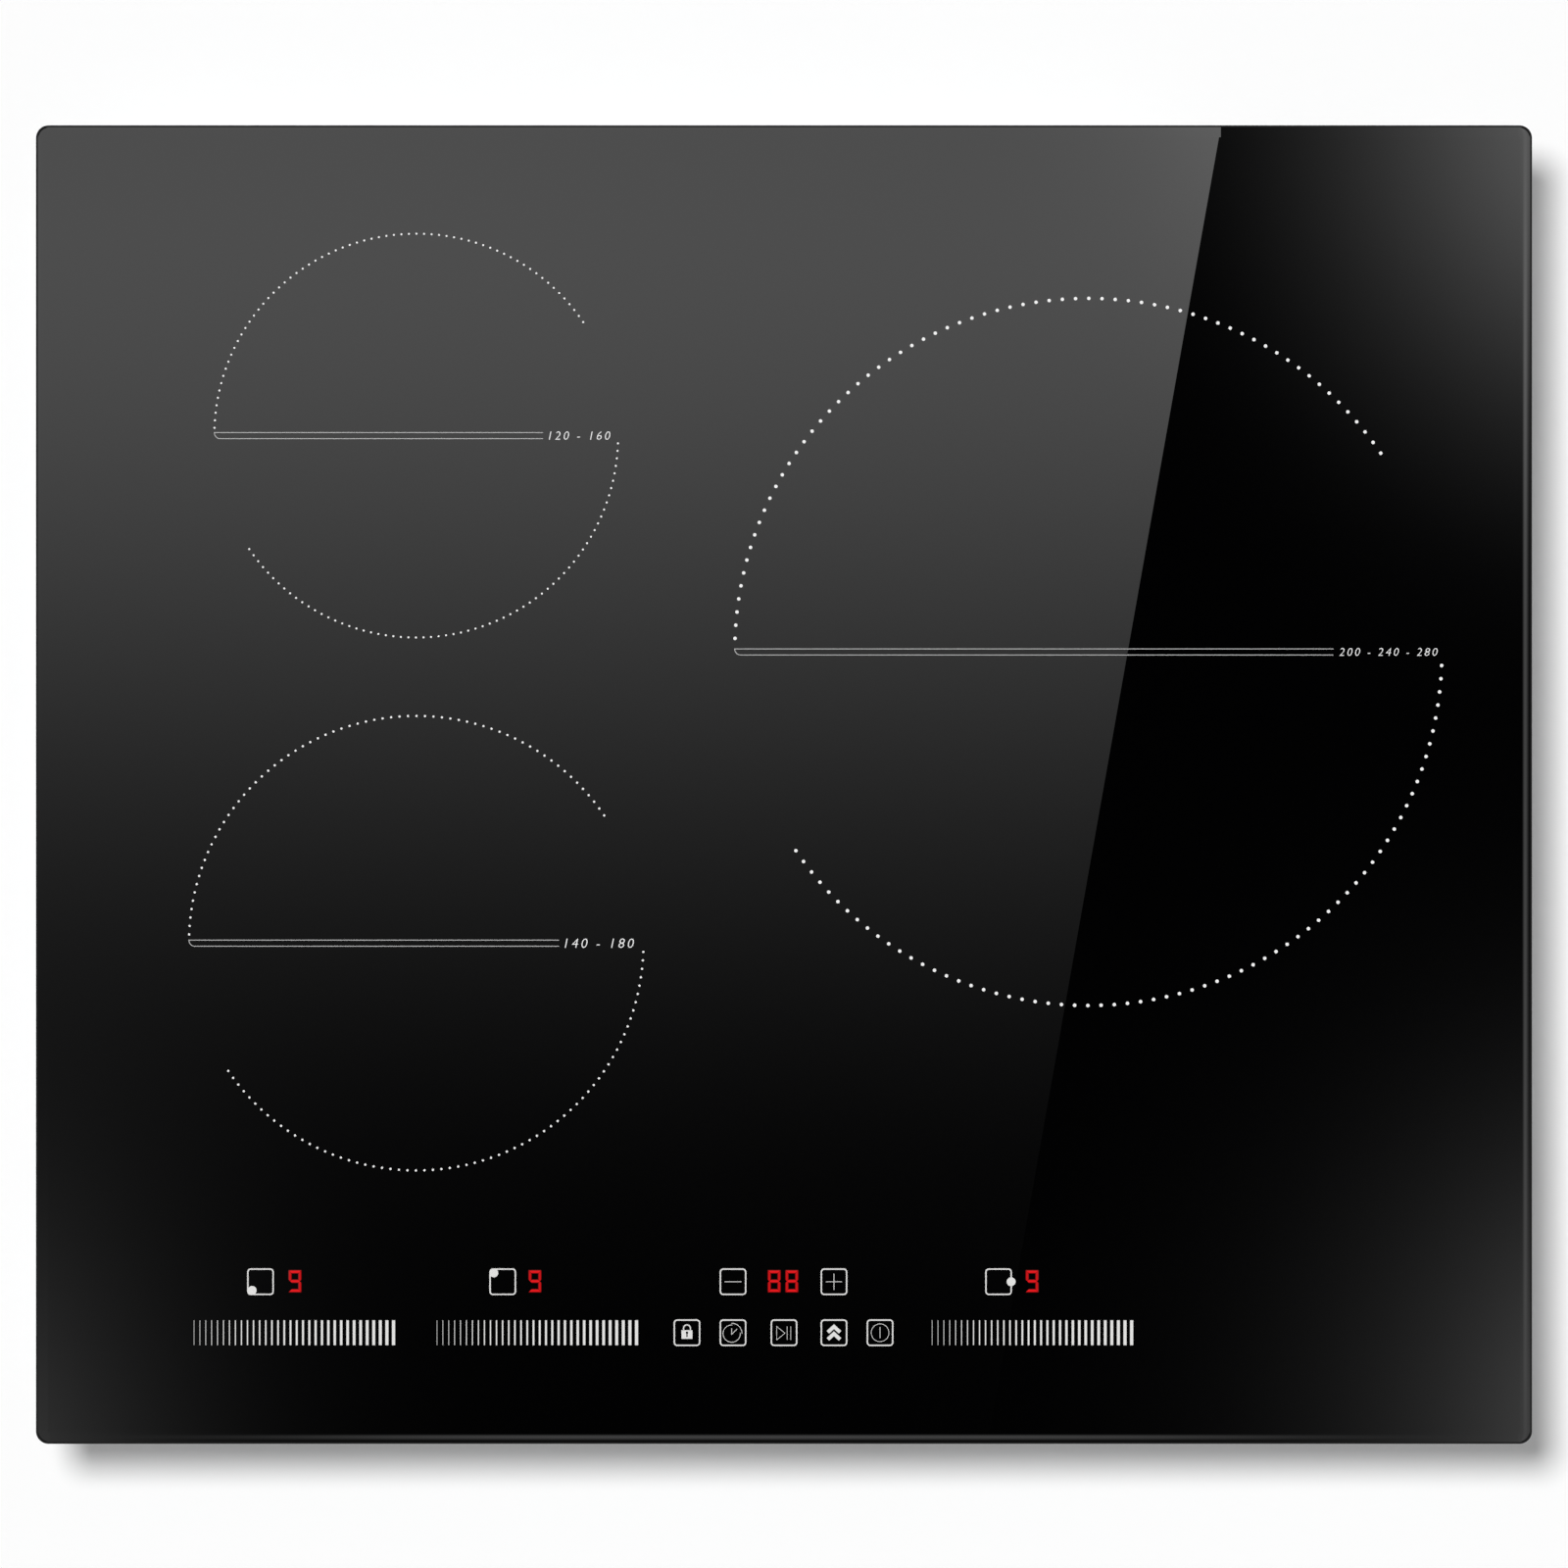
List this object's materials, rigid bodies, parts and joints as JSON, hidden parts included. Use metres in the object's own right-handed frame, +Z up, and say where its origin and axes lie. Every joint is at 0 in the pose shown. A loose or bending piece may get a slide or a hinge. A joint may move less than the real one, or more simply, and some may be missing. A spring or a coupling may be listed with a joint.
{
  "type": "induction hob",
  "caption": "Flat black ceramic-glass induction hob with dotted cooking zones and a touch row, over a sheet-metal tray with blowers, coils, boards and sliding fixing brackets.",
  "frame": {"origin": "centre of the base tray's underside, on the plane that the part stands on", "axes": "+X to the right, +Y to the rear and +Z up, as the cook sees it"},
  "size_m": [0.59, 0.52, 0.06],
  "materials": {
    "ceramic_glass": "black glass ceramic, polished, printed with pale grey marks",
    "foam": "closed-cell sealing foam",
    "silicone": "black silicone adhesive",
    "frame_steel": "plain sheet steel",
    "galvanised_sheet": "hot-dip galvanised sheet steel with a fine spangle",
    "screw": "zinc-plated",
    "aluminium": "plain mill finish",
    "motor_steel": "bright steel",
    "copper": "enamelled copper litz band",
    "mica": "pressed mica sheet",
    "black_plastic": "moulded, fine texture",
    "grey_plastic": "moulded, fine texture",
    "white_plastic": "moulded, smooth",
    "circuit_board": "green solder resist",
    "rubber": "moulded rubber",
    "black_lead": "sleeved wires",
    "red_lead": "silicone-sleeved litz",
    "ribbon": "flat ribbon cable",
    "display": "dark red lens"
  },
  "bodies": {
    "root": {"glass_panel": "ceramic_glass", "rim_seal": "foam", "glass_adhesive": "silicone", "glass_frame": "frame_steel", "base_tray": "galvanised_sheet", "terminal_housing": "grey_plastic", "terminal_cover": "grey_plastic", "terminal_block": "white_plastic", "cable_grommet": "rubber", "mains_harness": "black_lead", "bracket_screw_front_left": "screw", "bracket_screw_front_right": "screw", "bracket_screw_rear_left": "screw", "bracket_screw_rear_right": "screw", "coil_former_rear_left": "black_plastic", "coil_winding_rear_left": "copper", "coil_insulator_rear_left": "mica", "temperature_sensor_rear_left": "white_plastic", "coil_lead_rear_left": "red_lead", "zone_display_rear_left": "display", "coil_former_front_left": "black_plastic", "coil_winding_front_left": "copper", "coil_insulator_front_left": "mica", "temperature_sensor_front_left": "white_plastic", "coil_lead_front_left": "red_lead", "zone_display_front_left": "display", "coil_former_right": "black_plastic", "coil_winding_right": "copper", "coil_insulator_right": "mica", "temperature_sensor_right": "white_plastic", "coil_lead_right": "red_lead", "zone_display_right": "display", "timer_display": "display", "coil_deck_left": "aluminium", "board_carrier_left": "grey_plastic", "power_board_left": "circuit_board", "heatsink_left": "aluminium", "supply_lead_left": "black_lead", "blower_case_left": "black_plastic", "blower_motor_left": "motor_steel", "coil_deck_right": "aluminium", "board_carrier_right": "grey_plastic", "power_board_right": "circuit_board", "heatsink_right": "aluminium", "supply_lead_right": "black_lead", "blower_case_right": "black_plastic", "blower_motor_right": "motor_steel", "filter_board": "circuit_board", "touch_board": "circuit_board", "touch_carrier": "black_plastic", "ribbon_cable": "ribbon"},
    "impeller_left": {"blower_impeller_left": "grey_plastic"},
    "impeller_right": {"blower_impeller_right": "grey_plastic"},
    "bracket_front_left": {"fixing_bracket_front_left": "galvanised_sheet"},
    "bracket_front_right": {"fixing_bracket_front_right": "galvanised_sheet"},
    "bracket_rear_left": {"fixing_bracket_rear_left": "galvanised_sheet"},
    "bracket_rear_right": {"fixing_bracket_rear_right": "galvanised_sheet"}
  },
  "joints": [
    {"name": "impeller_left_spin", "type": "hinge", "parent": "root", "child": "impeller_left", "pos_m": [-0.1486, 0.15188, 0.0226], "axis": [0, 0, 1], "continuous": true},
    {"name": "impeller_right_spin", "type": "hinge", "parent": "root", "child": "impeller_right", "pos_m": [0.06657, 0.15188, 0.0226], "axis": [0, 0, 1], "continuous": true},
    {"name": "bracket_front_left_slide", "type": "slide", "parent": "root", "child": "bracket_front_left", "axis": [0, 0, 1], "range_m": [0, 0.012]},
    {"name": "bracket_front_right_slide", "type": "slide", "parent": "root", "child": "bracket_front_right", "axis": [0, 0, 1], "range_m": [0, 0.012]},
    {"name": "bracket_rear_left_slide", "type": "slide", "parent": "root", "child": "bracket_rear_left", "axis": [0, 0, 1], "range_m": [0, 0.012]},
    {"name": "bracket_rear_right_slide", "type": "slide", "parent": "root", "child": "bracket_rear_right", "axis": [0, 0, 1], "range_m": [0, 0.012]}
  ]
}
